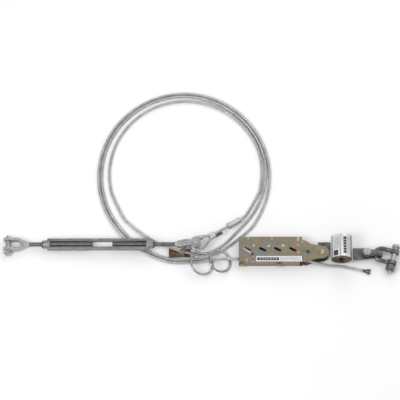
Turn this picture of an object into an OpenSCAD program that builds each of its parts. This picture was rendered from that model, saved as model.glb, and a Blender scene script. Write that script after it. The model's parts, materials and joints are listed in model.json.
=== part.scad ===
// Wire rope puller: an open body turnbuckle, a length of wire rope, a rope grip,
// a tear strip shock absorber and an anchor shackle, laid out flat on a table.

/* [Turnbuckle] */
// Diameter of the threaded rods and the jaw bolts
rod_d = 15.9; // [14:0.1:17]
// Length of the turnbuckle body between its end faces
body_l = 374; // [360:1:400]
// Width of the turnbuckle body across its rails
body_w = 39; // [36:0.5:42]
// Distance between the jaw bolts
jaw_span = 640.5; // [630:0.5:650]
// Outer width of a jaw
jaw_w = 43; // [40:0.5:46]
// Gap between the ears of a jaw
jaw_gap = 24; // [20:0.5:26]

/* [Rope] */
// Diameter of the wire rope
rope_d = 9.5; // [8:0.1:10]
// Half width of the coil of rope
coil_rx = 297; // [290:1:300]
// Half depth of the coil of rope
coil_ry = 315; // [305:1:320]
// Width of the band of strands in the coil
coil_band = 47; // [40:1:50]

/* [Grip] */
// Length of the housing plates
grip_l = 215; // [210:1:220]
// Depth of the housing plates
grip_w = 91; // [88:1:95]
// Overall thickness of the housing
grip_t = 40; // [40:1:44]
// Thickness of the housing plates
plate_t = 3; // [2.5:0.5:3]
// Number of slanted slots
slot_n = 4; // [2:1:4]
// Distance between the slots
slot_pitch = 51; // [48:1:52]
// Slope of the slots
slot_angle = 28; // [24:1:32]

/* [Absorber] */
// Diameter of the rolled up tear strip with its sleeve
can_d = 75; // [70:1:78]
// Length of the sleeve
can_l = 80; // [76:1:82]
// Width of the strip where it leaves the sleeve
tab_w = 40; // [36:1:42]

/* [Hidden] */
$fn = 48;
rope_r = rope_d / 2;
rod_r = rod_d / 2;

// The middle of the set on the table, which becomes the origin
table_middle = [2.7, 17];

// Where the turnbuckle lies: its right bolt, and how it leans and turns
turn_at = [-15, 14.5, 40];
turn_tilt = -2.13;
turn_yaw = -0.75;
body_right = -146.5;
body_left = body_right - body_l;
boss_l = 24;
boss_r = 14.2;
rail_t = 9;
rail_h = 17;
collar_t = 3.5;
rod_gap = 34;
rod_shift = 15;
rod_mid = (body_left + body_right) / 2 + rod_shift;
ear_r = 16;
ear_t = (jaw_w - jaw_gap) / 2;
yoke_back = 60;
yoke_in = 31;
strap_w = 22;
neck_l = 14;
bolt_bore_r = rod_r + 0.35;
nut_af = 25;
nut_h = 11.5;
head_h = 9;
cotter_r = 1.6;
yoke_side = [[0, jaw_w / 2], [-35, jaw_w / 2], [-44, jaw_w / 2 - 3.5], [-51, jaw_w / 2 - 8.5],
    [-58, rod_r + 2.5], [-yoke_back - 6, rod_r + 1]];

// The eye at the end of the rope
eye_turn = 34;
eye_dip = 8.6;
eye_offset = 6;
thimble_r = 15.5;
thimble_web = 3.5;
thimble_h = 15;
eye_r = thimble_r + thimble_web + 0.2 + rope_r;
eye_x = 52;
eye_y = rope_r + 0.3;
eye_far = sqrt(pow(eye_x - eye_offset, 2) + eye_y * eye_y);
eye_open = atan2(eye_y, eye_x - eye_offset) + acos(eye_r / eye_far);
front_ferrule_l = 22;
rear_ferrule_x = 130;
rear_ferrule_l = 50;
rear_ferrule_r = 9.8;

// The coil and the routes of the rope that isn't coiled
coil_at = [-58, 277];
coil_h = 2 * rope_d + 0.5;
coil_from = -45;
coil_to = 225;
eye_run = [[131.5, 115, 13], [140, 122, 10], [147, 129, 7], [154, 137, 5]];
pass_a = [[-262, 124, 5], [-240, 101, 5], [-215, 79, 5], [-185, 57, 5], [-155, 38.5, 5], [-126, 25, 6],
    [-100, 14, 8.5], [-68, 2, 8.6], [-40, -5, 8], [-15, -7, 5], [12, -5, 5], [40, 4, 5], [66, 19, 5],
    [94, 43, 5], [125, 81, 5]];
pass_b = [[-256, 66, 5], [-228, 40, 5], [-200, 18, 5], [-165, -4, 5], [-122, -21, 5], [-85, -28, 5],
    [-54, -29, 5], [-26, -27.5, 5], [-3, -27, 7.5], [10, -25, 14.5], [23, -20, 19.4], [38, -13, 15],
    [54, -4, 6.5], [72, 6, 5], [96, 23, 5], [119, 42, 5], [147, 59, 5]];
pass_c = [[-265, 58, 5], [-236, 30, 5], [-206, 7, 5], [-168, -15, 5], [-122, -33, 5], [-85, -39, 5],
    [-58, -40, 5], [-30, -38.5, 5], [-6, -37, 6.5], [14, -35, 11.5], [34, -32, 15.2], [54, -30, 14.5],
    [76, -29, 14], [95, -30, 15.6], [112, -32, 18.5], [128, -33, 19.6]];
grip_run = [[128, -33, 19.6], [160, -33, 20], [345, -33, 20]];
tail_run = [[345, -33, 20], [358, -36, 19.6], [372, -40, 18], [400, -46, 12.5], [428, -50, 6.5],
    [460, -52, 5], [490, -56, 5], [520, -62, 5], [548, -68, 5]];

// The rope keeper
keeper_at = [-109, -18.5];
keeper_size = [74, 30];
keeper_t = 2.5;

// The two rings
ring_r = 38;
ring_wire = 4;
ring_left_at = [3, -48, 17];
ring_left_tilt = 20;
ring_right_at = [64, -40, 21.3];
ring_right_tilt = 27;

// The grip
grip_x = 128;
grip_y = -49;
grip_back = grip_y + grip_w;
slot_w = 9;
slot_l = 18;
slot_x = 150;
slot_y = 0;
rope_line = -33;
jaw_low = rope_line + rope_r + 0.1;
jaw_high = 22;
anvil_high = rope_line - rope_r - 0.1;
inner_low = plate_t + 0.5;
inner_high = grip_t - plate_t - 0.5;
pull_t = 3;
pin_r = slot_w / 2 - 0.1;
pin_at = 17;
pin_rest = [cos(slot_angle), -sin(slot_angle)] * pin_at;
pin_recess = 1;
neck_at = [411, -12];
neck_pin_r = 7;
hole_at = [362, -11];
hole_r = 6.5;
lever_at = [175, -22];
bolt_spots = [139, 266];
anvil_bolt_r = 4;
rivet_spots = [[160, 36], [240, 36], [329, 36], [155, -43.5]];
rivet_hole_r = 3.1;
lever_pin_r = 4;

// The absorber, its link and the shackle
tab_z = 17;
tab_t = 6;
can_x = 476;
can_y = -1;
can_z = can_d / 2;
sleeve_t = 1.5;
shoulder_y = 30;
tab_eye = [562, -12];
tab_eye_r = 19;
link_far = 604;
link_low = 8.6;
link_high = 25.4;
link_t = 4.5;
link_pin_r = 5;
shackle_turn = -15;
shackle_r = 7.9;
crown_x = link_far - link_pin_r - 0.4 - shackle_r;
crown_r = 22;
shackle_pin_x = 62;
shackle_ear_y = 20.5;

module placed() translate([-table_middle.x, -table_middle.y, 0]) children();

// ---- Shapes that repeat ----

module hex(af, h) cylinder(r = af / sqrt(3), h = h, $fn = 6);

module rod(from, to, r) translate([from, 0, 0]) rotate([0, 90, 0]) cylinder(r = r, h = to - from);

// A bolt along z: the head sits on `top`, the shank ends at `bottom`
module bolt(top, bottom, r, af, head) {
    translate([0, 0, bottom]) cylinder(r = r, h = top - bottom + 1);
    translate([0, 0, top]) hex(af, head);
}

module nut(z, r, af, h) translate([0, 0, z]) difference() {
    hex(af, h);
    translate([0, 0, -1]) cylinder(r = r + 0.05, h = h + 2);
}

// A split pin across a bolt, its two legs bent apart at one end
module cotter(z, reach) translate([0, 0, z]) {
    rotate([90, 0, 0]) cylinder(r = cotter_r, h = 2 * reach, center = true);
    for (side = [-1, 1])
        translate([0, -reach, 0]) rotate([0, side * 50, 0]) cylinder(r = cotter_r, h = 5);
    translate([0, reach, 0]) rotate([0, 90, 0])
        rotate_extrude() translate([3, 0]) circle(r = 1.2);
}

// ---- The swept rope ----

function unit(v) = v / norm(v);
function heading(route, i) =
    unit(route[min(i + 1, len(route) - 1)] - route[max(i - 1, 0)]);
function ring_points(centre, along, r, sides) =
    let (side = unit(cross(along, [0, 0, 1])), up = cross(side, along))
    [for (k = [0:sides - 1]) centre + r * (cos(360 * k / sides) * side + sin(360 * k / sides) * up)];

module swept_rope(route, r = rope_r, sides = 10) {
    rings = len(route);
    points = [for (i = [0:rings - 1]) each ring_points(route[i], heading(route, i), r, sides)];
    walls = [for (i = [0:rings - 2], k = [0:sides - 1])
        let (a = i * sides + k, b = i * sides + (k + 1) % sides) [a, b, b + sides, a + sides]];
    first = [for (k = [0:sides - 1]) sides - 1 - k];
    last = [for (k = [0:sides - 1]) (rings - 1) * sides + k];
    polyhedron(points = points, faces = concat([first], walls, [last]), convexity = 6);
}

// ---- Turnbuckle, in a frame with its axis along x and the right bolt at 0 ----

module on_turnbuckle() translate(turn_at) rotate([0, turn_tilt, turn_yaw]) children();

module turnbuckle_body() color("silver") on_turnbuckle() difference() {
    union() {
        for (side = [-1, 1])
            translate([body_left + boss_l - 10, side * (body_w - rail_t) / 2 - rail_t / 2, -rail_h / 2])
                cube([body_l - 2 * boss_l + 20, rail_t, rail_h]);
        rod(body_left, body_left + boss_l, boss_r);
        rod(body_right - boss_l, body_right, boss_r);
        for (x = [body_left + boss_l - 10, body_right - boss_l])
            translate([x, -body_w / 2, -rail_h / 2]) cube([10, body_w, rail_h]);
    }
    rod(body_left - 1, body_right + 1, rod_r + 0.05);
}

// A forged yoke, ears across z, opening towards +x, with its rod along -x
module yoke(rod_to) difference() {
    union() {
        rotate([90, 0, 0]) linear_extrude(strap_w, center = true)
            polygon([for (side = [1, -1]) each [for (k = [0:5])
                let (p = yoke_side[side > 0 ? k : 5 - k]) [p.x, side * p.y]]]);
        cylinder(r = ear_r, h = jaw_w, center = true);
        rod(-yoke_back - neck_l, -yoke_back + 2, rod_r + 2);
        rod(rod_to, -yoke_back, rod_r);
    }
    rotate([90, 0, 0]) linear_extrude(3 * ear_r, center = true) {
        translate([-yoke_in, -jaw_gap / 2]) square([yoke_in + 36, jaw_gap]);
        translate([-yoke_in, 0]) circle(r = jaw_gap / 2);
    }
    cylinder(r = bolt_bore_r, h = jaw_w + 2, center = true);
}

module at_left_jaw() on_turnbuckle() translate([-jaw_span, 0, 0]) rotate([90, 0, 180]) children();

module left_jaw() color("silver") at_left_jaw() yoke(-(jaw_span + rod_mid) + rod_gap);
module left_jaw_bolt() color("gainsboro") at_left_jaw()
    translate([0, 0, -40]) cylinder(r = rod_r, h = 69);
module left_jaw_nut() color("gainsboro") at_left_jaw() nut(-jaw_w / 2 - 0.2 - nut_h, rod_r, nut_af, nut_h);
module left_jaw_cotter() color("gray") at_left_jaw() difference() {
    cotter(25.9, 11);
    cylinder(r = rod_r + 0.05, h = 100, center = true);
}

module right_jaw() color("silver") on_turnbuckle() yoke(rod_mid + rod_gap);
module right_jaw_bolt() color("gainsboro") on_turnbuckle()
    bolt(jaw_w / 2 + 0.2, -36.5, rod_r, nut_af, head_h);
module right_jaw_nut() color("gainsboro") on_turnbuckle() nut(-jaw_w / 2 - 0.2 - nut_h, rod_r, nut_af, nut_h);
module right_jaw_cotter() color("gray") on_turnbuckle() difference() {
    translate([0, 0, -35]) rotate([90, 0, 0]) cylinder(r = cotter_r - 0.3, h = 24, center = true);
    cylinder(r = rod_r + 0.05, h = 100, center = true);
}

module collar(x) on_turnbuckle() difference() {
    rod(x, x + collar_t, boss_r - 1.5);
    rod(x - 1, x + collar_t + 1, rod_r + 0.05);
}
module left_collar() color("dimgray") collar(body_left - collar_t - 0.1);
module right_collar() color("dimgray") collar(body_right + 0.1);

// ---- Rope eye, in a frame with the eye's axis along x ----

module on_eye() translate(turn_at) rotate([0, eye_dip, eye_turn]) children();

module thimble() color("lightgray") on_eye() {
    translate([eye_offset, 0, 0]) rotate([0, 0, eye_open]) rotate_extrude(angle = 360 - 2 * eye_open)
        polygon([[thimble_r, -thimble_h / 2], [eye_r, -thimble_h / 2], [eye_r, 1.8 - thimble_h / 2],
            [thimble_r + thimble_web, 1.8 - thimble_h / 2], [thimble_r + thimble_web, thimble_h / 2 - 1.8],
            [eye_r, thimble_h / 2 - 1.8], [eye_r, thimble_h / 2], [thimble_r, thimble_h / 2]]);
    for (side = [0, 1]) mirror([0, side, 0])
        translate([eye_offset, 0, 0]) rotate([0, 0, eye_open])
            translate([thimble_r, -20, 0]) difference() {
                translate([0, 0, -thimble_h / 2]) cube([eye_r - thimble_r, 20, thimble_h]);
                translate([thimble_web, -1, 1.8 - thimble_h / 2]) cube([20, 22, thimble_h - 3.6]);
            }
}

module rope_eye() color("darkgray") on_eye() {
    translate([eye_offset, 0, 0]) rotate([0, 0, eye_open])
        rotate_extrude(angle = 360 - 2 * eye_open) translate([eye_r, 0]) circle(r = rope_r);
    for (side = [0, 1]) mirror([0, side, 0])
        translate([eye_offset, 0, 0]) rotate([0, 0, eye_open]) translate([eye_r, 0, 0])
            rotate([90, 0, 0]) cylinder(r = rope_r, h = eye_far * sin(acos(eye_r / eye_far)));
}

module front_ferrule() color("silver") on_eye() translate([eye_x + 0.5, 0, 0]) rotate([90, 0, 90])
    linear_extrude(front_ferrule_l) {
        square([rope_d + 0.6, 2 * rope_r + 5], center = true);
        for (side = [-1, 1]) translate([side * eye_y, 0]) circle(r = rope_r + 2.5);
    }

module rope_splice() color("darkgray") on_eye() translate([0, 1.5, 0])
    rod(eye_x + 0.6 + front_ferrule_l, rear_ferrule_x - 0.1, rope_r);

module rope_dead_end() color("dimgray") on_eye() translate([0, -rope_d + 1.2, 0])
    rod(eye_x + 0.6 + front_ferrule_l, eye_x + front_ferrule_l + 26, rope_r);

module rear_ferrule() color("silver") on_eye() translate([0, 1.5, 0]) {
    rod(rear_ferrule_x, rear_ferrule_x + rear_ferrule_l, rear_ferrule_r);
    rod(rear_ferrule_x - 0.01, rear_ferrule_x + 9, rear_ferrule_r + 1.5);
    rod(rear_ferrule_x + rear_ferrule_l - 5, rear_ferrule_x + rear_ferrule_l, rear_ferrule_r + 0.8);
}

// ---- Wire rope ----

module rope_eye_run() color("darkgray") swept_rope(eye_run);

function oval(rx, ry, from, to, step) =
    [for (a = [from:step:to]) [rx * cos(a), ry * sin(a)]];

module rope_coil() color("darkgray") translate([coil_at.x, coil_at.y, 0]) linear_extrude(coil_h)
    polygon(concat(oval(coil_rx, coil_ry, coil_from, coil_to, 5),
        oval(coil_rx - coil_band, coil_ry - coil_band, -coil_to, -coil_from, 5) * [[1, 0], [0, -1]]));

module rope_pass_a() color("darkgray") swept_rope(pass_a);
module rope_pass_b() color("darkgray") swept_rope(pass_b);
module rope_pass_c() color("darkgray") swept_rope(pass_c);
module rope_in_grip() color("darkgray") swept_rope(grip_run);
module rope_tail() color("darkgray") swept_rope(tail_run);

module tail_clip() color("dimgray") translate([548.5, -68, 5]) rotate([0, 0, -12]) {
    rod(0, 10, 5);
    for (side = [-1, 1]) translate([8, side * 3, 0]) rotate([0, 0, side * 20]) rod(0, 14, 2.4);
    translate([22, 0, 0]) rotate([0, 0, 90]) rod(-9, 9, 2.7);
}

// ---- Rope keeper: a folded plate under the strands with a strap over one of them ----

module keeper_plate() color("saddlebrown") translate([keeper_at.x, keeper_at.y, 0]) {
    cube([keeper_size.x, keeper_size.y, keeper_t]);
    cube([keeper_t, keeper_size.y, 11]);
    difference() {
        cube([34, keeper_t, 10]);
        translate([8, -1, 5]) cube([20, 5, 2]);
    }
}

module keeper_strap() color("tan") translate([-62, 0, keeper_t]) rotate([0, 0, -15]) difference() {
    translate([-8, -12, 0.01]) cube([16, 24, 12.5]);
    translate([-10, -rope_r - 0.6, -1]) cube([20, rope_d + 1.2, 12]);
    for (side = [-1, 1]) translate([0, side * 8.5, 0]) cylinder(r = 2, h = 20);
}

module keeper_screws() color("dimgray") translate([-62, 0, keeper_t]) rotate([0, 0, -15])
    for (side = [-1, 1]) translate([0, side * 8.5, 0.01]) cylinder(r = 1.95, h = 13);

// ---- Travelling rings ----

module travelling_ring(at, tilt) translate(at) rotate([0, tilt, 0])
    rotate_extrude($fn = 96) translate([ring_r, 0]) circle(r = ring_wire);
module ring_left() color("silver") travelling_ring(ring_left_at, ring_left_tilt);
module ring_right() color("silver") travelling_ring(ring_right_at, ring_right_tilt);

// ---- Grip housing ----

module slots() for (i = [0:slot_n - 1])
    translate([slot_x + i * slot_pitch, slot_y]) rotate([0, 0, -slot_angle]) {
        for (x = [0, slot_l]) translate([x, 0]) circle(r = slot_w / 2);
        translate([0, -slot_w / 2]) square([slot_l, slot_w]);
    }

module housing_plate() linear_extrude(plate_t) difference() {
    translate([grip_x, grip_y]) square([grip_l, grip_w]);
    slots();
    for (at = rivet_spots) translate(at) circle(r = rivet_hole_r);
    translate(lever_at) circle(r = lever_pin_r + 0.1);
}

module lower_plate() color("darkkhaki") housing_plate();
module upper_plate() color("darkkhaki") translate([0, 0, grip_t - plate_t]) housing_plate();

module rivet_holes(h) for (at = rivet_spots) translate([at.x, at.y, -1]) cylinder(r = rivet_hole_r, h = h);

module back_spine() color("darkkhaki") difference() {
    translate([grip_x + 0.5, grip_back - 12, plate_t + 0.05]) cube([205, 12, grip_t - 2 * plate_t - 0.1]);
    rivet_holes(60);
}

module anvil_bar() color("dimgray") difference() {
    translate([grip_x + 2, grip_y, plate_t + 0.05])
        cube([204, anvil_high - grip_y, grip_t - 2 * plate_t - 0.1]);
    rivet_holes(60);
    for (x = bolt_spots) translate([x, grip_y - 1, grip_t / 2]) rotate([-90, 0, 0])
        cylinder(r = anvil_bolt_r + 0.05, h = 10.5);
}

module anvil_bolts() color("gray") for (x = bolt_spots)
    translate([x, grip_y, grip_t / 2]) rotate([90, 0, 0]) bolt(0.1, -9, anvil_bolt_r, 13, 8);

module housing_rivets() color("goldenrod") for (at = rivet_spots) translate([at.x, at.y, 0]) {
    translate([0, 0, 0.4]) cylinder(r = rivet_hole_r - 0.05, h = grip_t - 0.4);
    translate([0, 0, grip_t]) cylinder(r1 = 5, r2 = 3.5, h = 1.8);
}

module name_plate() color("white") translate([187, -48.5, grip_t + 0.02]) cube([155, 19.5, 0.5]);

// ---- What slides in the grip ----

module pull_outline() difference() {
    union() {
        polygon([[136, 20], [136, -26], [345, -26], [345, -47], [357, -49], [380, -39], [411, -34],
            [411, 10], [392, 13], [374, 17], [345, 34], [345, 20]]);
        translate(neck_at) circle(r = 22);
    }
    translate(hole_at) circle(r = hole_r);
    translate(neck_at) circle(r = neck_pin_r + 0.05);
    for (i = [0:slot_n - 1]) translate(pin_spot(i)) circle(r = pin_r + 0.02);
}
function pin_spot(i) = [slot_x + i * slot_pitch, slot_y] + pin_rest;

module pull_plates() color("darkkhaki") for (z = [inner_low, inner_high - pull_t])
    translate([0, 0, z]) linear_extrude(pull_t) pull_outline();

module jaw_bar() color("dimgray") difference() {
    translate([140, jaw_low, inner_low + pull_t + 0.02])
        cube([196, jaw_high - jaw_low, inner_high - inner_low - 2 * pull_t - 0.04]);
    for (i = [0:slot_n - 1]) translate([pin_spot(i).x, pin_spot(i).y, 0])
        cylinder(r = pin_r + 0.02, h = grip_t);
}

module slot_pins() color("black") for (i = [0:slot_n - 1])
    translate([pin_spot(i).x, pin_spot(i).y, pin_recess])
        cylinder(r = pin_r, h = grip_t - 2 * pin_recess);

module neck_pin() color("goldenrod") translate([neck_at.x, neck_at.y, 0]) {
    translate([0, 0, 0.4]) cylinder(r = 11, h = inner_low - 0.42);
    translate([0, 0, 0.4]) cylinder(r = neck_pin_r, h = inner_high + 2);
    translate([0, 0, inner_high + 0.02]) cylinder(r1 = 10, r2 = 7, h = 5);
}

module release_lever() color("gainsboro") translate([lever_at.x, lever_at.y, grip_t + 0.3]) difference() {
    linear_extrude(3) {
        circle(r = 8);
        rotate([0, 0, 148]) translate([0, -4]) square([34, 8]);
        rotate([0, 0, 148]) translate([34, 0]) circle(r = 5);
        rotate([0, 0, -80]) translate([0, -4]) square([12, 8]);
    }
    translate([0, 0, -1]) cylinder(r = lever_pin_r + 0.05, h = 6);
}

module lever_pin() color("gray") translate([lever_at.x, lever_at.y, grip_t - plate_t]) {
    cylinder(r = lever_pin_r, h = plate_t + 4);
    translate([0, 0, plate_t + 3.6]) cylinder(r = 6, h = 1.8);
}

module lever_ring() color("silver") translate([lever_at.x, lever_at.y - 20.5, grip_t + 2.6])
    rotate_extrude() translate([7.5, 0]) circle(r = 1.5);

// ---- Absorber ----

module tear_strip() color("dimgray") difference() {
    union() {
        translate([0, 0, tab_z - tab_t / 2]) linear_extrude(tab_t)
            polygon([[neck_at.x, neck_at.y - 10], [neck_at.x - 15, neck_at.y + 8],
                [neck_at.x - 15, shoulder_y], [can_x - 30, shoulder_y], [can_x - 30, 8], [neck_at.x + 16, -4]]);
        translate([neck_at.x, neck_at.y, tab_z - tab_t / 2]) cylinder(r = 18, h = tab_t);
        translate([can_x + 31, tab_eye.y - tab_w / 2, tab_z - tab_t / 2])
            cube([tab_eye.x - can_x - 40, tab_w, tab_t]);
        translate([tab_eye.x, tab_eye.y, tab_z - tab_t / 2]) cylinder(r = tab_eye_r, h = tab_t);
    }
    translate([neck_at.x, neck_at.y, 0]) cylinder(r = neck_pin_r + 0.05, h = 60);
    translate([tab_eye.x, tab_eye.y, 0]) cylinder(r = rod_r + 0.05, h = 60);
    translate([can_x, can_y, can_z]) rotate([90, 0, 0])
        cylinder(r = can_d / 2 - sleeve_t, h = 200, center = true);
}

module strip_roll() color("saddlebrown") translate([can_x, can_y, can_z]) rotate([90, 0, 0]) difference() {
    cylinder(r = can_d / 2 - sleeve_t - 0.05, h = can_l - 4, center = true);
    cylinder(r = 7, h = can_l, center = true);
}

module absorber_sleeve() color("white") difference() {
    translate([can_x, can_y, can_z]) rotate([90, 0, 0]) difference() {
        cylinder(r = can_d / 2, h = can_l, center = true);
        cylinder(r = can_d / 2 - sleeve_t, h = can_l + 2, center = true);
    }
    translate([can_x - 40, 4, tab_z - tab_t / 2 - 0.3]) cube([20, shoulder_y - 3.5, tab_t + 0.6]);
    translate([can_x + 20, tab_eye.y - tab_w / 2 - 0.5, tab_z - tab_t / 2 - 0.3])
        cube([20, tab_w + 1, tab_t + 0.6]);
}

// ---- Link and shackle ----

module eye_bolt() color("gainsboro") translate([tab_eye.x, tab_eye.y, 0]) difference() {
    bolt(34.5, 1, rod_r, nut_af, head_h);
    translate([0, 0, -5]) cylinder(r = 20, h = 5.5);
}
module eye_nut() color("gray") translate([tab_eye.x, tab_eye.y, 0]) difference() {
    union() {
        translate([0, 0, link_high + link_t]) cylinder(r = 16.5, h = 4.4);
        translate([0, 0, tab_z + tab_t / 2 + 0.3]) cylinder(r = 13, h = link_high - tab_z - tab_t / 2 - 0.4);
        translate([0, 0, link_low + 0.1]) cylinder(r = 13, h = tab_z - tab_t / 2 - link_low - 0.4);
        translate([0, 0, 1]) cylinder(r = 12, h = link_low - link_t - 1.2);
    }
    cylinder(r = rod_r + 0.05, h = 60);
}

module link_plates() color("dimgray") for (z = [link_low - link_t, link_high])
    translate([0, 0, z]) linear_extrude(link_t) difference() {
        union() {
            translate([tab_eye.x, tab_eye.y - 11]) square([link_far - tab_eye.x, 22]);
            translate([tab_eye.x, tab_eye.y]) circle(r = 15);
            translate([link_far, tab_eye.y]) circle(r = 11);
        }
        translate([tab_eye.x, tab_eye.y]) circle(r = rod_r + 0.05);
        translate([link_far, tab_eye.y]) circle(r = link_pin_r + 0.05);
    }

module link_pin() color("gray") translate([link_far, tab_eye.y, 0]) {
    translate([0, 0, 1]) cylinder(r = 8, h = link_low - link_t - 1.05);
    translate([0, 0, 1]) cylinder(r = link_pin_r, h = 32);
    translate([0, 0, link_high + link_t + 0.05]) cylinder(r = 8, h = 3);
}

module on_shackle() translate([link_far, tab_eye.y, tab_z]) rotate([0, 0, shackle_turn])
    translate([crown_x - link_far, 0, 0]) children();

module shackle_bow() color("dimgray") on_shackle() difference() {
    union() {
        translate([crown_r, 0, 0]) rotate([0, 0, 90]) rotate_extrude(angle = 180)
            translate([crown_r, 0]) circle(r = shackle_r);
        for (side = [-1, 1]) {
            translate([0, side * crown_r, 0]) rod(crown_r - 3, shackle_pin_x - 12, shackle_r - 0.3);
            translate([shackle_pin_x, side * shackle_ear_y, 0]) rotate([90, 0, 0])
                cylinder(r = 16, h = 13, center = true);
        }
    }
    translate([shackle_pin_x, 0, 0]) rotate([90, 0, 0]) cylinder(r = bolt_bore_r, h = 100, center = true);
}

module at_shackle_bolt() on_shackle() translate([shackle_pin_x, 0, 0]) rotate([-90, 0, 0]) children();
module shackle_bolt() color("gainsboro") at_shackle_bolt() bolt(36, -60, rod_r, nut_af, head_h);
module shackle_nut() color("dimgray") at_shackle_bolt() nut(-50, rod_r, nut_af + 2, 20);
module shackle_cotter() color("gray") at_shackle_bolt() difference() {
    translate([0, 0, -55]) rotate([90, 0, 0]) cylinder(r = cotter_r, h = 26, center = true);
    cylinder(r = rod_r + 0.05, h = 200, center = true);
}

placed() turnbuckle_body();
placed() left_jaw();
placed() left_jaw_bolt();
placed() left_jaw_nut();
placed() left_jaw_cotter();
placed() right_jaw();
placed() right_jaw_bolt();
placed() right_jaw_nut();
placed() right_jaw_cotter();
placed() left_collar();
placed() right_collar();
placed() thimble();
placed() rope_eye();
placed() front_ferrule();
placed() rear_ferrule();
placed() rope_dead_end();
placed() rope_splice();
placed() rope_eye_run();
placed() rope_coil();
placed() rope_pass_a();
placed() rope_pass_b();
placed() rope_pass_c();
placed() rope_in_grip();
placed() rope_tail();
placed() tail_clip();
placed() keeper_plate();
placed() keeper_strap();
placed() keeper_screws();
placed() ring_left();
placed() ring_right();
placed() lower_plate();
placed() upper_plate();
placed() back_spine();
placed() anvil_bar();
placed() anvil_bolts();
placed() housing_rivets();
placed() name_plate();
placed() pull_plates();
placed() jaw_bar();
placed() slot_pins();
placed() neck_pin();
placed() release_lever();
placed() lever_pin();
placed() lever_ring();
placed() tear_strip();
placed() strip_roll();
placed() absorber_sleeve();
placed() eye_bolt();
placed() eye_nut();
placed() link_plates();
placed() link_pin();
placed() shackle_bow();
placed() shackle_bolt();
placed() shackle_nut();
placed() shackle_cotter();
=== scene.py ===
import json
import math

import bmesh
import bpy
import numpy as np
from mathutils import Euler, Matrix, Vector

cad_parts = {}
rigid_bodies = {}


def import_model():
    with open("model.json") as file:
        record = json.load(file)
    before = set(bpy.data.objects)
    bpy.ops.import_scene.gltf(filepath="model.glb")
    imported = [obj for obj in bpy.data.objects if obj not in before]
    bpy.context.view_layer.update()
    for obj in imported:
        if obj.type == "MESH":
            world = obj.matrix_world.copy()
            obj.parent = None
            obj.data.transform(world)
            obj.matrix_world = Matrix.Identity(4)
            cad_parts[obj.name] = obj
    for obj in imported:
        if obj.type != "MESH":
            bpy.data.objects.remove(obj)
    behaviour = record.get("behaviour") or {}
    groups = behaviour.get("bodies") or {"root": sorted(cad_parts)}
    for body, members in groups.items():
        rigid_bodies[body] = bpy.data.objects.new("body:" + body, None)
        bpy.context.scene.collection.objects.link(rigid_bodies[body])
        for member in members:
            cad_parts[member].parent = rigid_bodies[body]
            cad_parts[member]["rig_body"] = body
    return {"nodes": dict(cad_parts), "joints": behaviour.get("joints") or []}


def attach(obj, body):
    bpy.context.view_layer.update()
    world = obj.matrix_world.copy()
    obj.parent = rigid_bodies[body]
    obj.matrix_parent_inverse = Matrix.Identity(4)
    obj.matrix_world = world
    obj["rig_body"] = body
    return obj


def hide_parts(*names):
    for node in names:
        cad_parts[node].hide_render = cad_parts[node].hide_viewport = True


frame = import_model()
nodes = frame["nodes"]
joints = {j["name"]: j for j in frame["joints"]}
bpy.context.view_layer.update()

MM = 0.001
TABLE_MIDDLE = (2.7, 17)
scene = bpy.context.scene


def at(x, y, z):
    """A place given in millimetres on the table, as the CAD file gives it, in metres in the frame."""
    return Vector(((x - TABLE_MIDDLE[0]) * MM, (y - TABLE_MIDDLE[1]) * MM, z * MM))


# ---------------------------------------------------------------- camera

ELEVATION = 67
VIEW_DISTANCE = 20.0
VIEW_WIDTH = 1.36
SENSOR = 36.0
view_target = at(-3.4, 184.7, 22)

camera_data = bpy.data.cameras.new("camera")
camera_data.sensor_width = SENSOR
camera_data.lens = SENSOR * VIEW_DISTANCE / VIEW_WIDTH
camera_data.clip_end = 100
camera = bpy.data.objects.new("camera", camera_data)
scene.collection.objects.link(camera)
elevation = math.radians(ELEVATION)
camera.location = view_target + VIEW_DISTANCE * Vector((0, -math.cos(elevation), math.sin(elevation)))
camera.rotation_euler = Euler((math.pi / 2 - elevation, 0, 0))
scene.camera = camera

# ---------------------------------------------------------------- material helpers


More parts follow.
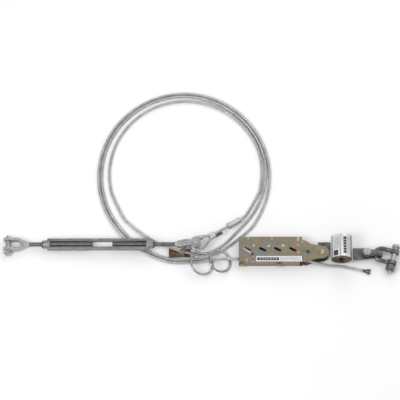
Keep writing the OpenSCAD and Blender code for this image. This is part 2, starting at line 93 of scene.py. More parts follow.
class Shader:
    """A small builder for node materials: each call adds one node and returns its output."""

    def __init__(self, name):
        self.material = bpy.data.materials.new(name)
        self.material.use_nodes = True
        self.tree = self.material.node_tree
        self.bsdf = self.tree.nodes["Principled BSDF"]
        self.coords = self.tree.nodes.new("ShaderNodeTexCoord")

    def node(self, kind, inputs=None, **settings):
        made = self.tree.nodes.new(kind)
        for key, value in settings.items():
            setattr(made, key, value)
        for key, value in (inputs or {}).items():
            self.put(made.inputs[key], value)
        return made

    def put(self, socket, value):
        if isinstance(value, bpy.types.NodeSocket):
            self.tree.links.new(value, socket)
        else:
            socket.default_value = value

    def place(self, scale=(1, 1, 1), shift=(0, 0, 0)):
        mapping = self.node("ShaderNodeMapping", {"Vector": self.coords.outputs["Object"]})
        mapping.inputs["Scale"].default_value = scale
        mapping.inputs["Location"].default_value = shift
        return mapping.outputs[0]

    def noise(self, scale, detail=4, vector=None, distortion=0.0):
        vector = vector or self.coords.outputs["Object"]
        made = self.node("ShaderNodeTexNoise", {"Vector": vector, "Scale": scale, "Detail": detail})
        made.inputs["Distortion"].default_value = distortion
        return made.outputs["Fac"]

    def cells(self, scale):
        made = self.node("ShaderNodeTexVoronoi", {"Vector": self.coords.outputs["Object"], "Scale": scale})
        return made.outputs["Color"]

    def ramp(self, factor, stops):
        made = self.node("ShaderNodeValToRGB", {"Fac": factor})
        ramp = made.color_ramp
        while len(ramp.elements) < len(stops):
            ramp.elements.new(0.5)
        for element, (place, colour) in zip(ramp.elements, stops):
            element.position = place
            element.color = (*colour, 1) if len(colour) == 3 else (colour[0],) * 3 + (1,)
        return made.outputs["Color"]

    def mix(self, factor, a, b, mode="MIX"):
        made = self.node("ShaderNodeMix", data_type="RGBA", blend_type=mode)
        for socket, value in zip((made.inputs[0], made.inputs[6], made.inputs[7]), (factor, a, b)):
            if isinstance(value, tuple) and len(value) == 3:
                value = (*value, 1)
            self.put(socket, value)
        return made.outputs[2]

    def maths(self, operation, a, b=0.0):
        made = self.node("ShaderNodeMath", operation=operation)
        for socket, value in zip(made.inputs, (a, b)):
            self.put(socket, value)
        return made.outputs[0]

    def span(self, value, low, high):
        """1 where the value lies between low and high, else 0."""
        above = self.maths("GREATER_THAN", value, low)
        return self.maths("MULTIPLY", above, self.maths("LESS_THAN", value, high))

    def bump(self, height, depth):
        made = self.node("ShaderNodeBump", {"Height": height, "Distance": depth, "Strength": 1.0})
        self.put(self.bsdf.inputs["Normal"], made.outputs[0])

    def finish(self, colour, roughness, metallic=1.0):
        self.put(self.bsdf.inputs["Base Color"], colour)
        self.put(self.bsdf.inputs["Roughness"], roughness)
        self.bsdf.inputs["Metallic"].default_value = metallic
        return self.material


def grey(value):
    return (value, value, value)


GRAIN = 220
CLOUDS = 60


def metal(name, dark, light, rough, depth=0.00012):
    """Bare or plated metal: cloudy tone, fine grain in its roughness and a little unevenness."""
    s = Shader(name)
    cloud = s.noise(CLOUDS, 5)
    tone = s.ramp(cloud, [(0.30, dark), (0.72, light)])
    speck = s.ramp(s.noise(GRAIN * 4, 2), [(0.42, grey(0.80)), (0.56, grey(1.0))])
    worn = s.mix(1.0, tone, speck, "MULTIPLY")
    rough_low, rough_high = rough
    roughness = s.ramp(s.noise(GRAIN, 4), [(0.3, (rough_low,)), (0.7, (rough_high,))])
    s.bump(s.noise(GRAIN * 2, 3), depth)
    return s.finish(worn, roughness)


SPANGLE = 420


def galvanized_metal(name, dark, light):
    """Hot dipped zinc: faint crystal cells and cloudy matt patches, with runs and grain."""
    s = Shader(name)
    cloud = s.ramp(s.noise(70, 6, distortion=0.4), [(0.32, dark), (0.68, light)])
    spangle = s.ramp(s.cells(SPANGLE), [(0.1, grey(0.88)), (0.9, grey(1.0))])
    pits = s.ramp(s.noise(900, 2), [(0.34, grey(0.70)), (0.46, grey(1.0))])
    colour = s.mix(1.0, s.mix(1.0, cloud, spangle, "MULTIPLY"), pits, "MULTIPLY")
    roughness = s.ramp(s.cells(SPANGLE), [(0.2, (0.36,)), (0.8, (0.54,))])
    s.bump(s.noise(SPANGLE, 5), 0.0002)
    return s.finish(colour, roughness)


def chromated_metal(name, dark_before=None):
    """Yellow chromated zinc: olive, tan, lilac and teal clouds, with painted shade, near black, before a
    place along x.
    """
    s = Shader(name)
    base = s.ramp(s.noise(14, 3, distortion=0.6), [
        (0.30, (0.19, 0.20, 0.13)), (0.42, (0.27, 0.23, 0.12)), (0.50, (0.30, 0.23, 0.17)),
        (0.58, (0.27, 0.20, 0.20)), (0.70, (0.22, 0.25, 0.20))])
    film = s.ramp(s.noise(26, 4, s.place(shift=(3, 1, 2)), 1.2), [
        (0.36, (0.36, 0.25, 0.28)), (0.48, (0.38, 0.33, 0.20)), (0.60, (0.22, 0.32, 0.30))])
    colour = s.mix(0.40, base, film)
    scuffs = s.ramp(s.noise(90, 5, s.place((1, 6, 1))), [(0.60, grey(0.0)), (0.72, grey(0.5))])
    colour = s.mix(scuffs, colour, (0.46, 0.44, 0.36))
    if dark_before is not None:
        split = s.node("ShaderNodeSeparateXYZ", {"Vector": s.coords.outputs["Object"]})
        # Painted shade: before dark_before along x the plates are coloured near black, for the shadow
        # inside the housing seen through the slots.
        inside_shade = s.maths("LESS_THAN", split.outputs["X"], dark_before)
        colour = s.mix(inside_shade, colour, (0.012, 0.012, 0.010))
    roughness = s.ramp(s.noise(60, 5), [(0.3, (0.30,)), (0.7, (0.52,))])
    s.bump(s.noise(300, 3), 0.0001)
    return s.finish(colour, roughness)


def rope_metal(name, dark, light):
    """Twisted strands: fine wires along the rope on each strand, and painted shade in the valleys between
    them.
    """
    s = Shader(name)
    split = s.node("ShaderNodeSeparateXYZ", {"Vector": s.coords.outputs["UV"]})
    across = s.maths("MULTIPLY", split.outputs["Y"], STRANDS)
    valley = s.maths("PINGPONG", across, 0.5)
    slanted = s.maths("ADD", split.outputs["X"], split.outputs["Y"])
    wire = s.maths("PINGPONG", s.maths("MULTIPLY", slanted, WIRES), 0.5)
    cloud = s.ramp(s.noise(45, 4), [(0.3, dark), (0.7, light)])
    # Painted shade: darker in the valleys between strands.
    valley_shade = s.ramp(valley, [(0.0, grey(0.30)), (0.22, grey(1.0))])
    lines = s.ramp(wire, [(0.02, grey(0.55)), (0.20, grey(1.0))])
    roughness = s.ramp(s.noise(300, 3), [(0.3, (0.30,)), (0.7, (0.48,))])
    s.bump(wire, 0.00035)
    colour = s.mix(1.0, s.mix(1.0, cloud, valley_shade, "MULTIPLY"), lines, "MULTIPLY")
    return s.finish(colour, roughness)


STRANDS = 6
WIRES = 42
# Where the painted shade inside the housing ends on the pull plates, in millimetres along x.
PULL_SHADE_END = 341
galvanized = galvanized_metal("galvanized", (0.42, 0.43, 0.44), (0.60, 0.61, 0.61))
galvanized_frame = galvanized_metal("galvanized_frame", (0.24, 0.25, 0.26), (0.36, 0.37, 0.38))
bright_zinc = metal("bright_zinc", (0.40, 0.39, 0.37), (0.66, 0.65, 0.62), (0.24, 0.42))
stainless = metal("stainless", (0.26, 0.27, 0.24), (0.58, 0.59, 0.55), (0.10, 0.20), depth=0.00003)
swaged = metal("swaged", (0.52, 0.52, 0.53), (0.74, 0.74, 0.75), (0.34, 0.52))
dark_steel = metal("dark_steel", (0.10, 0.095, 0.09), (0.22, 0.21, 0.20), (0.38, 0.60))
shackle_steel = metal("shackle_steel", (0.09, 0.09, 0.09), (0.28, 0.28, 0.275), (0.26, 0.46))
strip_steel = metal("strip_steel", (0.09, 0.085, 0.08), (0.25, 0.24, 0.225), (0.30, 0.48))
# Near black as painted shade: inner parts seen through the housing's slots take the colour of the shadow
# inside it.
shade_black_steel = metal("shade_black_steel", (0.02, 0.02, 0.018), (0.06, 0.055, 0.05), (0.40, 0.60))
# Brown steel whose span from near black to light tan is partly painted: dark patches stand for shadow and
# light tan patches for bright edges.
brown_steel = metal("brown_steel", (0.07, 0.045, 0.03), (0.44, 0.33, 0.22), (0.32, 0.55))
tan_steel = metal("tan_steel", (0.42, 0.34, 0.25), (0.62, 0.55, 0.45), (0.35, 0.55))
brass_head = metal("brass_head", (0.55, 0.42, 0.22), (0.78, 0.66, 0.42), (0.25, 0.40))
thread_steel = metal("thread_steel", (0.22, 0.22, 0.23), (0.36, 0.36, 0.37), (0.30, 0.48))
chromated = chromated_metal("chromated")
pull_steel = chromated_metal("pull_steel", dark_before=at(PULL_SHADE_END, 0, 0).x)
rope_steel = rope_metal("rope_steel", (0.56, 0.57, 0.58), (0.80, 0.81, 0.82))
dark_rope = rope_metal("dark_rope", (0.12, 0.12, 0.13), (0.24, 0.24, 0.25))

# ---------------------------------------------------------------- mesh helpers


def new_piece(name, vertices, faces, material, body):
    mesh = bpy.data.meshes.new(name)
    mesh.from_pydata([tuple(v) for v in vertices], [], faces)
    mesh.validate()
    mesh.materials.append(material)
    piece = bpy.data.objects.new(name, mesh)
    scene.collection.objects.link(piece)
    mesh.shade_smooth()
    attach(piece, body)
    return piece


def apply_modifiers(piece):
    bpy.context.view_layer.update()
    evaluated = piece.evaluated_get(bpy.context.evaluated_depsgraph_get())
    mesh = bpy.data.meshes.new_from_object(evaluated)
    piece.modifiers.clear()
    piece.data = mesh


def smooth_by_angle(piece, degrees=35):
    piece.data.shade_smooth()
    piece.data.set_sharp_from_angle(angle=math.radians(degrees))


def body_of(node):
    return nodes[node]["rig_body"]


def copy_of(node, name, material):
    """A separate copy of a CAD node's mesh, riding on the same body and standing for the node."""
    mesh = nodes[node].data.copy()
    mesh.materials.clear()
    mesh.materials.append(material)
    piece = bpy.data.objects.new(name, mesh)
    scene.collection.objects.link(piece)
    welded = bmesh.new()
    welded.from_mesh(mesh)
    bmesh.ops.remove_doubles(welded, verts=welded.verts, dist=0.01 * MM)
    bmesh.ops.recalc_face_normals(welded, faces=welded.faces)
    welded.to_mesh(mesh)
    welded.free()
    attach(piece, body_of(node))
    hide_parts(node)
    return piece


def machined(node, material, edge=0.5, segments=2):
    """The CAD shape with its sharp edges broken, as on a turned, sawn or pressed part."""
    piece = copy_of(node, node + "_part", material)
    bmesh_data = bmesh.new()
    bmesh_data.from_mesh(piece.data)
    bmesh.ops.dissolve_limit(bmesh_data, angle_limit=math.radians(1.5), verts=bmesh_data.verts,
                             edges=bmesh_data.edges)
    bmesh_data.to_mesh(piece.data)
    bmesh_data.free()
    bevel = piece.modifiers.new("bevel", "BEVEL")
    bevel.width = edge * MM
    bevel.segments = segments
    bevel.limit_method = "ANGLE"
    bevel.angle_limit = math.radians(40)
    apply_modifiers(piece)
    smooth_by_angle(piece)
    weighted = piece.modifiers.new("weighted", "WEIGHTED_NORMAL")
    weighted.keep_sharp = True
    apply_modifiers(piece)
    return piece


def forged(node, material, voxel=1.2, rounds=6):
    """The CAD shape with soft forged corners: remeshed and smoothed."""
    piece = copy_of(node, node + "_forging", material)
    remesh = piece.modifiers.new("remesh", "REMESH")
    remesh.mode = "VOXEL"
    remesh.voxel_size = voxel * MM
    smooth = piece.modifiers.new("smooth", "SMOOTH")
    smooth.factor = 0.5
    smooth.iterations = rounds
    apply_modifiers(piece)
    piece.data.shade_smooth()
    return piece


# ---------------------------------------------------------------- wire rope

ROPE_D = 9.5
ROPE_R = ROPE_D / 2
COIL_AT = (-58, 277)
COIL_RX = 297
COIL_RY = 315
COIL_LIFT = 5.0
STRAND_POINTS = 5
ROPE_LAY = 64
PATH_STEP = 4.0

EYE_RUN = [(131.5, 115, 13), (140, 122, 10), (147, 129, 7), (154, 137, 5)]
PASS_A = [(-262, 124, 5), (-240, 101, 5), (-215, 79, 5), (-185, 57, 5), (-155, 38.5, 5), (-126, 25, 6),
          (-100, 14, 8.5), (-68, 2, 8.6), (-40, -5, 8), (-15, -7, 5), (12, -5, 5), (40, 4, 5), (66, 19, 5),
          (94, 43, 5), (125, 81, 5)]
PASS_B = [(-256, 66, 5), (-228, 40, 5), (-200, 18, 5), (-165, -4, 5), (-122, -21, 5), (-85, -28, 5),
          (-54, -29, 5), (-26, -27.5, 5), (-3, -27, 7.5), (10, -25, 14.5), (23, -20, 19.4), (38, -13, 15),
          (54, -4, 6.5), (72, 6, 5), (96, 23, 5), (119, 42, 5), (147, 59, 5)]
PASS_C = [(-265, 58, 5), (-236, 30, 5), (-206, 7, 5), (-168, -15, 5), (-122, -33, 5), (-85, -39, 5),
          (-58, -40, 5), (-30, -38.5, 5), (-6, -37, 6.5), (14, -35, 11.5), (34, -32, 15.2), (54, -30, 14.5),
          (76, -29, 14), (95, -30, 15.6), (112, -32, 18.5), (128, -33, 19.6)]
GRIP_RUN = [(128, -33, 19.6), (160, -33, 20), (345, -33, 20)]
TAIL_RUN = [(345, -33, 20), (358, -36, 19.6), (372, -40, 18), (400, -46, 12.5), (428, -50, 6.5),
            (460, -52, 5), (490, -56, 5), (520, -62, 5), (548, -68, 5)]

# How far each turn's centre lies inside the coil's outer edge, by angle round the coil
TURN_1 = [(-12, 36), (20, 26), (60, 30), (90, 33), (150, 39), (180, 43), (193, 45)]
TURN_2 = [(-38, 34), (-15, 24), (10, 15.5), (60, 16), (90, 15.5), (150, 16), (212, 17)]
TURN_3 = [(-38, 8), (0, 5.5), (60, 5.5), (120, 5.5), (180, 5.5), (218, 5.5)]
TURN_STEP = 7


def turn(insets):
    """Points round one turn of the coil, from the first angle to the last."""
    angles = [a for a, _ in insets]
    depths = [d for _, d in insets]
    count = int((angles[-1] - angles[0]) / TURN_STEP) + 1
    points = []
    for angle in np.linspace(angles[0], angles[-1], count):
        inset = float(np.interp(angle, angles, depths))
        a = math.radians(angle)
        points.append((COIL_AT[0] + (COIL_RX - inset) * math.cos(a),
                       COIL_AT[1] + (COIL_RY - inset) * math.sin(a), COIL_LIFT))
    return points


def smooth_path(points, step=PATH_STEP):
    """A smooth curve through the points (Catmull-Rom), resampled to even steps, in millimetres."""
    p = np.array(points, float)
    p = np.vstack([2 * p[0] - p[1], p, 2 * p[-1] - p[-2]])
    dense = []
    for i in range(1, len(p) - 2):
        p0, p1, p2, p3 = p[i - 1:i + 3]
        span = np.linalg.norm(p2 - p1)
        m1 = (p2 - p0) * span / (span + np.linalg.norm(p1 - p0))
        m2 = (p3 - p1) * span / (span + np.linalg.norm(p3 - p2))
        for t in np.linspace(0, 1, 24, endpoint=False):
            h = (2 * t**3 - 3 * t**2 + 1, t**3 - 2 * t**2 + t, -2 * t**3 + 3 * t**2, t**3 - t**2)
            dense.append(h[0] * p1 + h[1] * m1 + h[2] * p2 + h[3] * m2)
    dense.append(p[-2])
    dense = np.array(dense)
    run = np.concatenate([[0], np.cumsum(np.linalg.norm(np.diff(dense, axis=0), axis=1))])
    count = max(3, int(run[-1] / step) + 1)
    even = np.linspace(0, run[-1], count)
    return np.column_stack([np.interp(even, run, dense[:, k]) for k in range(3)]), run[-1]


def strand_outline():
    """The outline of six round strands side by side, for a rope of radius 1."""
    outline = []
    half = math.pi / STRANDS
    for strand in range(STRANDS):
        for k in range(STRAND_POINTS):
            off = -half + 2 * half * (k + 0.5) / STRAND_POINTS
            reach = 2 / 3 * math.cos(off) + math.sqrt(max(0, 1 / 9 - (2 / 3 * math.sin(off))**2))
            outline.append((2 * half * strand + off, max(reach, 0.70)))
    return outline


def rope_mesh(name, centres, material):
    """A laid rope: the strand outline swept along the path and turned once for each lay length."""
    outline = strand_outline()
    sides = len(outline)
    places = [at(*c) for c in centres]
    vertices, uvs = [], []
    side = None
    run = 0.0
    for i, place in enumerate(places):
        along = (places[min(i + 1, len(places) - 1)] - places[max(i - 1, 0)]).normalized()
        if side is None:
            side = along.cross(Vector((0, 0, 1)))
            side = side.normalized() if side.length > 1e-6 else Vector((1, 0, 0))
        side = (side - along * side.dot(along)).normalized()
        up = side.cross(along)
        if i:
            run += (place - places[i - 1]).length / MM
        twist = 2 * math.pi * run / ROPE_LAY
        for k, (angle, reach) in enumerate(outline):
            a = angle + twist
            vertices.append(place + ROPE_R * MM * reach * (math.cos(a) * side + math.sin(a) * up))
            uvs.append((run / ROPE_LAY, (k + 0.5) / sides))
    faces = []
    for i in range(len(places) - 1):
        for k in range(sides):
            a, b = i * sides + k, i * sides + (k + 1) % sides
            faces.append((a, b, b + sides, a + sides))
    faces.append(tuple(reversed(range(sides))))
    faces.append(tuple((len(places) - 1) * sides + k for k in range(sides)))
    piece = new_piece(name, vertices, faces, material, "rope_and_grip")
    layer = piece.data.uv_layers.new(name="UVMap")
    for face in piece.data.polygons:
        seam = len(face.vertices) == 4 and any(v % sides == sides - 1 for v in face.vertices)
        for index in face.loop_indices:
            vertex = piece.data.loops[index].vertex_index
            u, v = uvs[vertex]
            layer.data[index].uv = (u, v + 1) if seam and vertex % sides == 0 else (u, v)
    return piece, places


main_route = EYE_RUN + turn(TURN_1) + PASS_A[:-1] + turn(TURN_2) + PASS_B[:-1] + turn(TURN_3) + PASS_C
main_path, main_length = smooth_path(main_route)
main_rope, main_places = rope_mesh("main_rope", main_path, rope_steel)
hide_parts("rope_eye_run", "rope_coil", "rope_pass_a", "rope_pass_b", "rope_pass_c")

grip_path, _ = smooth_path(GRIP_RUN)
grip_rope, _ = rope_mesh("rope_in_housing", grip_path, rope_steel)
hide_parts("rope_in_grip")

tail_path, tail_length = smooth_path(TAIL_RUN)
tail_rope, tail_places = rope_mesh("tail_rope", tail_path, rope_steel)
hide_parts("rope_tail")
tail_clip = machined("tail_clip", dark_steel, 0.6)

# ---------------------------------------------------------------- floor and light


LIT_PLACE = (0, 0.15, 0)


def area_light(name, place, energy, size):
    light = bpy.data.lights.new(name, "AREA")
    light.energy = energy
    light.size = size
    lamp = bpy.data.objects.new(name, light)
    scene.collection.objects.link(lamp)
    lamp.location = place
    lamp.rotation_euler = (Vector(LIT_PLACE) - Vector(place)).to_track_quat("-Z", "Y").to_euler()


FLOOR_SIZE = 6.0
floor_mesh = bpy.data.meshes.new("floor")
floor_mesh.from_pydata([(-FLOOR_SIZE, -FLOOR_SIZE, 0), (FLOOR_SIZE, -FLOOR_SIZE, 0),
                        (FLOOR_SIZE, FLOOR_SIZE, 0), (-FLOOR_SIZE, FLOOR_SIZE, 0)], [], [(0, 1, 2, 3)])
floor = bpy.data.objects.new("floor", floor_mesh)
scene.collection.objects.link(floor)
floor_paint = Shader("floor_paint")
pale = floor_paint.ramp(floor_paint.noise(2, 2), [(0.3, grey(0.965)), (0.7, grey(0.98))])
floor_mesh.materials.append(floor_paint.finish(pale, 0.9, 0.0))

world = bpy.data.worlds.new("world")
scene.world = world
world.use_nodes = True
world.node_tree.nodes["Background"].inputs["Color"].default_value = (1, 1, 1, 1)
world.node_tree.nodes["Background"].inputs["Strength"].default_value = 0.63
area_light("key", (-1.6, -1.2, 2.6), 36, 1.3)
area_light("fill", (2.0, 0.6, 2.4), 15, 2.0)
area_light("rim", (0.2, 2.4, 1.8), 12, 1.6)
scene.view_settings.view_transform = "Standard"

# ---------------------------------------------------------------- turnbuckle

THREAD_PITCH = 2.309
THREAD_DEPTH = 1.2
ROD_R = 7.95
JAW_SPAN = 640.5

turn_joint = joints["turnbuckle_turn"]
turn_at = Vector(turn_joint["pos_m"])
turn_axis = Vector(turn_joint["axis"]).normalized()
turn_side = Vector((0, 0, 1)).cross(turn_axis).normalized()
turn_up = turn_axis.cross(turn_side)


def on_turnbuckle(along, angle, radius):
    """A place on the turnbuckle, by distance along its axis, angle and radius, in millimetres."""
    return turn_at + MM * (along * turn_axis
                           + radius * (math.cos(angle) * turn_side + math.sin(angle) * turn_up))


def thread(name, start, end, body, hand):
    """A rolled thread: a rod whose radius rises and falls once for each turn round it."""
    sides = 20
    step = THREAD_PITCH / 6
    count = int((end - start) / step) + 1
    vertices = []
    for i in range(count):
        x = start + i * step
        for k in range(sides):
            phase = (x / THREAD_PITCH - hand * k / sides) % 1
            crest = abs(2 * phase - 1)
            radius = ROD_R - THREAD_DEPTH * min(1, max(0, 1.25 * crest - 0.1))
            vertices.append(on_turnbuckle(x, 2 * math.pi * k / sides, radius))
    faces = [(i * sides + k, i * sides + (k + 1) % sides,
              (i + 1) * sides + (k + 1) % sides, (i + 1) * sides + k)
             for i in range(count - 1) for k in range(sides)]
    faces.append(tuple(reversed(range(sides))))
    faces.append(tuple((count - 1) * sides + k for k in range(sides)))
    piece = new_piece(name, vertices, faces, thread_steel, body)
    return piece


def jaw(node, rod_from, rod_to, hand, thread_name):
    """The forged yoke, with the plain CAD rod cut away and a threaded rod in its place."""
    piece = copy_of(node, node + "_forging", galvanized)
    cut = bmesh.new()
    cut.from_mesh(piece.data)
    low, high = sorted((rod_from, rod_to))
    inner = rod_from if abs(rod_from + JAW_SPAN / 2) > abs(rod_to + JAW_SPAN / 2) else rod_to
    outward = 1 if inner == high else -1
    cut_at = inner + outward * 0.5
    whole = cut.verts[:] + cut.edges[:] + cut.faces[:]
    bmesh.ops.bisect_plane(cut, geom=whole, plane_co=on_turnbuckle(cut_at, 0, 0),
                           plane_no=outward * turn_axis, clear_inner=True)
    edges = [e for e in cut.edges if e.is_boundary]
    bmesh.ops.holes_fill(cut, edges=edges)
    bmesh.ops.recalc_face_normals(cut, faces=cut.faces)
    cut.to_mesh(piece.data)
    cut.free()
    remesh = piece.modifiers.new("remesh", "REMESH")
    remesh.mode = "VOXEL"
    remesh.voxel_size = 1.0 * MM
    smooth = piece.modifiers.new("smooth", "SMOOTH")
    smooth.factor = 0.5
    smooth.iterations = 6
    apply_modifiers(piece)
    piece.data.shade_smooth()
    thread(thread_name, low - 1, high + 1, body_of(node), hand)


ROD_MIDDLE = -318.5
ROD_GAP = 34
NECK_END = 74
jaw("right_jaw", ROD_MIDDLE + ROD_GAP, -NECK_END, 1, "right_thread")
jaw("left_jaw", NECK_END - JAW_SPAN, ROD_MIDDLE - ROD_GAP, -1, "left_thread")
forged("turnbuckle_body", galvanized_frame, 1.3, 7)
for fastener in ("left_jaw_bolt", "left_jaw_nut", "right_jaw_bolt", "right_jaw_nut"):
    machined(fastener, bright_zinc, 0.9, 3)
for pin in ("left_jaw_cotter", "right_jaw_cotter"):
    machined(pin, dark_steel, 0.3)
for collar in ("left_collar", "right_collar"):
    machined(collar, dark_steel, 0.6)

# ---------------------------------------------------------------- rope eye

EYE_TURN = math.radians(34)
EYE_DIP = math.radians(8.6)
EYE_OFFSET = 6
EYE_R = 15.5 + 3.5 + 0.2 + ROPE_R
EYE_X = 52
EYE_Y = ROPE_R + 0.3
EYE_STEP = 3.0
SPLICE = (68, 134)
DEAD_END = (70, 100)
eye_frame = Matrix.Translation(turn_at) @ Euler((0, EYE_DIP, EYE_TURN)).to_matrix().to_4x4()
table_shift = Vector((TABLE_MIDDLE[0], TABLE_MIDDLE[1], 0))


def on_eye(x, y):
    """A place in the eye's own frame, given back in the table's millimetres."""
    place = eye_frame @ Vector((x * MM, y * MM, 0))
    return tuple(place / MM + table_shift)


eye_far = math.hypot(EYE_X - EYE_OFFSET, EYE_Y)
eye_open = math.atan2(EYE_Y, EYE_X - EYE_OFFSET) + math.acos(EYE_R / eye_far)
loop = [on_eye(EYE_X + 4, EYE_Y)]
loop += [on_eye(EYE_OFFSET + EYE_R * math.cos(a), EYE_R * math.sin(a))
         for a in np.linspace(eye_open, 2 * math.pi - eye_open, 15)]
loop += [on_eye(EYE_X + 4, -EYE_Y)]
eye_rope, _ = rope_mesh("eye_rope", smooth_path(loop, EYE_STEP)[0], rope_steel)
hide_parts("rope_eye")
splice_path = [on_eye(x, 1.5) for x in np.linspace(*SPLICE, 22)]
splice, _ = rope_mesh("splice_rope", splice_path, rope_steel)
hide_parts("rope_splice")
dead_end_path = [on_eye(x, 1.2 - ROPE_D) for x in np.linspace(*DEAD_END, 12)]
dead_end, _ = rope_mesh("dead_end_rope", dead_end_path, dark_rope)
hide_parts("rope_dead_end")
machined("thimble", galvanized, 0.5)
forged("front_ferrule", swaged, 0.8, 4)
forged("rear_ferrule", swaged, 0.8, 4)

# ---------------------------------------------------------------- keeper and rings

# The keeper plate's brown steel carries painted shadow and painted highlight in its patches.
machined("keeper_plate", brown_steel, 0.7)
machined("keeper_strap", tan_steel, 0.7)
machined("keeper_screws", dark_steel, 0.5)


RING_R = 38
RING_BAR_R = 4.0
WELD_ANGLE = 4.0
WELD_SPREAD = 0.05
WELD_RISE = 0.3


def travelling_ring(node):
    """A welded ring of round bar, with the weld standing slightly proud."""
    joint = joints[node + "_turn"]
    centre = Vector(joint["pos_m"])
    axis = Vector(joint["axis"]).normalized()
    side = Vector((0, 1, 0))
    front = side.cross(axis)
    around, section = 144, 20
    vertices = []
    for i in range(around):
        a = 2 * math.pi * i / around
        out = math.cos(a) * front + math.sin(a) * side
        weld = math.exp(-((a - WELD_ANGLE) / WELD_SPREAD)**2)
        for k in range(section):
            b = 2 * math.pi * k / section
            radius = (RING_BAR_R + WELD_RISE * weld) * MM
            reach = RING_R * MM + radius * math.cos(b)
            vertices.append(centre + out * reach + axis * radius * math.sin(b))
    faces = [(i * section + k, i * section + (k + 1) % section,
              (i + 1) % around * section + (k + 1) % section, (i + 1) % around * section + k)
             for i in range(around) for k in range(section)]
    piece = new_piece(node + "_bar", vertices, faces, stainless, body_of(node))
    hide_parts(node)


travelling_ring("ring_left")
travelling_ring("ring_right")

# ---------------------------------------------------------------- grip

for plate in ("upper_plate", "lower_plate", "back_spine", "anvil_bar"):
    machined(plate, chromated, 0.6)
for rivet in ("housing_rivets", "neck_pin"):
    machined(rivet, brass_head, 0.8, 3)
machined("pull_plates", pull_steel, 0.6)
# Painted shade: the jaw bar and slot pins are near black so the slots read as shadow.
for inner in ("jaw_bar", "slot_pins"):
    machined(inner, shade_black_steel, 0.5)
machined("anvil_bolts", tan_steel, 0.9, 3)
machined("release_lever", bright_zinc, 0.8, 3)
machined("lever_ring", bright_zinc, 0.2)
machined("lever_pin", dark_steel, 0.6)

# ---------------------------------------------------------------- absorber, link and shackle

machined("tear_strip", strip_steel, 0.8)
machined("link_plates", strip_steel, 0.8)
machined("link_pin", shackle_steel, 0.8)
machined("eye_bolt", bright_zinc, 0.9, 3)
machined("eye_nut", shackle_steel, 0.8)
forged("shackle_bow", shackle_steel, 1.0, 5)
machined("shackle_bolt", bright_zinc, 0.9, 3)
machined("shackle_nut", shackle_steel, 0.9, 3)
machined("shackle_cotter", dark_steel, 0.3)

# ---------------------------------------------------------------- studs on the housing

GRIP_TOP = 40.0
STUD_SINK = 0.2
STUDS = [(179, 10, 4.6), (229, 8, 4.6), (278, 10, 4.6), (329, 30, 4.2), (328, 12, 4.2), (330, -15, 4.2)]


def domes(name, places, height, material, body):
    """Low round heads standing on the housing plate, each closed by a flat base."""
    vertices, faces = [], []
    sides, rows = 28, 6
    for x, y, radius in places:
        first = len(vertices)
        for row in range(rows):
            tilt = math.pi / 2 * row / (rows - 1)
            reach = radius * max(math.cos(tilt), 0.02)
            rise = height * math.sin(tilt)
            for k in range(sides):
                a = 2 * math.pi * k / sides
                vertices.append(at(x + reach * math.cos(a), y + reach * math.sin(a),
                                   GRIP_TOP - STUD_SINK + rise))
        for row in range(rows - 1):
            for k in range(sides):
                a, b = first + row * sides + k, first + row * sides + (k + 1) % sides
                faces.append((a, b, b + sides, a + sides))
        faces.append(tuple(reversed(range(first, first + sides))))
        faces.append(tuple(range(first + (rows - 1) * sides, first + rows * sides)))
    piece = new_piece(name, vertices, faces, material, body)
    return piece


domes("plate_studs", STUDS[:3], 1.6, brass_head, "rope_and_grip")
domes("end_studs", STUDS[3:], 1.4, tan_steel, "rope_and_grip")

# ---------------------------------------------------------------- labels


def print_on(s, paper, marks):
    """Lay printed marks over the paper: each is a mask and its ink."""
    for mask, ink in marks:
        paper = s.mix(mask, paper, ink)
    return paper


def rectangle(s, across, along, box):
    """A mask that is 1 inside the box x0, x1, y0, y1."""
    return s.maths("MULTIPLY", s.span(across, box[0], box[1]), s.span(along, box[2], box[3]))


def bars(s, across, along, box, row, fill):
    """A mask of even bars across the box, standing for print."""
    rows = s.maths("LESS_THAN", s.maths("PINGPONG", along, row / 2), row * fill / 2)
    return s.maths("MULTIPLY", rectangle(s, across, along, box), rows)


def name_plate_material():
    """White plate with a black block on its left and rows of grey print on its right."""
    s = Shader("name_plate_print")
    split = s.node("ShaderNodeSeparateXYZ", {"Vector": s.coords.outputs["Object"]})
    x, y = split.outputs["X"], split.outputs["Y"]
    low, high = at(190, -44.5, 0), at(264, -34, 0)
    block = rectangle(s, x, y, (low.x, high.x, low.y, high.y))
    marks_low, marks_high = at(196, -41, 0), at(258, -37.5, 0)
    marks = bars(s, y, x, (marks_low.y, marks_high.y, marks_low.x, marks_high.x), 0.0090, 0.55)
    print_low, print_high = at(268, -46, 0), at(338, -32, 0)
    small = bars(s, x, y, (print_low.x, print_high.x, print_low.y, print_high.y), 0.0036, 0.42)
    paper = s.ramp(s.noise(40, 4), [(0.3, grey(0.70)), (0.7, grey(0.84))])
    colour = print_on(s, paper, [
        (block, (0.03, 0.03, 0.03)), (marks, (0.55, 0.55, 0.55)), (small, (0.32, 0.32, 0.33))])
    s.bump(s.noise(150, 3), 0.0001)
    return s.finish(colour, 0.35, 0.0)


CAN_AT = (476, -1, 37.5)
CAN_R = 37.5


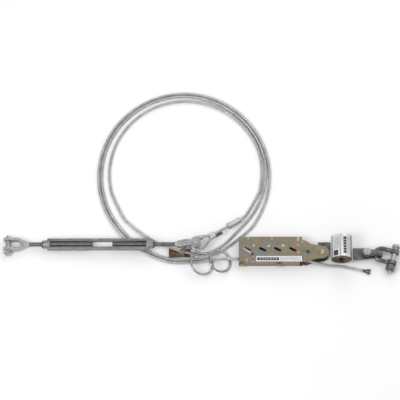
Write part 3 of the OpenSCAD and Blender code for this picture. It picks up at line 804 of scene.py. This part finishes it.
def sleeve_material():
    """Shiny wrapped label: a black band along the can, a dark block, rows of grey print, and painted dark
    reflections in bands on either side.
    """
    s = Shader("sleeve_print")
    split = s.node("ShaderNodeSeparateXYZ", {"Vector": s.coords.outputs["Object"]})
    middle = at(*CAN_AT)
    aside = s.maths("SUBTRACT", split.outputs["X"], middle.x)
    over = s.maths("SUBTRACT", split.outputs["Z"], middle.z)
    around = s.maths("MULTIPLY", s.maths("ARCTAN2", aside, over), CAN_R * MM)
    along = s.maths("SUBTRACT", split.outputs["Y"], middle.y)
    band = rectangle(s, around, along, (0.0055, 0.0165, -0.031, 0.031))
    cuts = bars(s, around, along, (0.0050, 0.0170, -0.029, 0.029), 0.0098, 0.16)
    block = rectangle(s, around, along, (-0.030, -0.013, -0.037, -0.018))
    small = bars(s, around, along, (-0.031, -0.009, -0.014, 0.031), 0.0046, 0.40)
    side_print = bars(s, along, around, (-0.031, 0.031, 0.0195, 0.0300), 0.0040, 0.40)
    line_left = s.span(around, -0.0065, -0.0045)
    # Painted reflections: two darker bands on either side of the can's top stand for the glossy label's
    # dark reflections.
    edge_reflection_right = s.span(around, 0.0330, 0.0420)
    edge_reflection_left = s.span(around, -0.0430, -0.0360)
    paper = s.ramp(s.noise(50, 4, s.place((3, 0.6, 3))), [(0.3, grey(0.60)), (0.7, grey(0.84))])
    colour = print_on(s, paper, [
        (band, (0.03, 0.03, 0.03)), (cuts, (0.62, 0.62, 0.62)), (block, (0.04, 0.045, 0.07)),
        (small, (0.26, 0.28, 0.32)), (side_print, (0.30, 0.30, 0.31)), (line_left, (0.22, 0.22, 0.23)),
        (edge_reflection_right, (0.17, 0.17, 0.17)), (edge_reflection_left, (0.22, 0.22, 0.23))])
    s.bump(s.noise(120, 3), 0.00025)
    return s.finish(colour, 0.28, 0.25)


machined("name_plate", name_plate_material(), 0.1)
machined("absorber_sleeve", sleeve_material(), 0.4)


def strip_spiral():
    """The tear strip rolled up inside the sleeve, seen as a spiral at both ends."""
    turns, inner, outer, thickness, half_length = 5.2, 7.5, 34.5, 3.6, 37.8
    steps = 260
    vertices = []
    for i in range(steps + 1):
        t = i / steps
        angle = 2 * math.pi * turns * t + 0.6
        radius = inner + (outer - inner - thickness / 2) * t
        for reach in (radius, radius + thickness):
            x = CAN_AT[0] + reach * math.cos(angle)
            z = CAN_AT[2] + reach * math.sin(angle)
            for y in (CAN_AT[1] - half_length, CAN_AT[1] + half_length):
                vertices.append(at(x, y, z))
    faces = [(0, 1, 3, 2)]
    for i in range(steps):
        a, b = 4 * i, 4 * (i + 1)
        faces += [(a, b, b + 1, a + 1), (a + 2, a + 3, b + 3, b + 2),
                  (a, a + 2, b + 2, b), (a + 1, b + 1, b + 3, a + 3)]
    last = 4 * steps
    faces.append((last, last + 2, last + 3, last + 1))
    piece = new_piece("strip_spiral", vertices, faces, brown_steel, "absorber")
    smooth_by_angle(piece, 40)
    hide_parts("strip_roll")


strip_spiral()
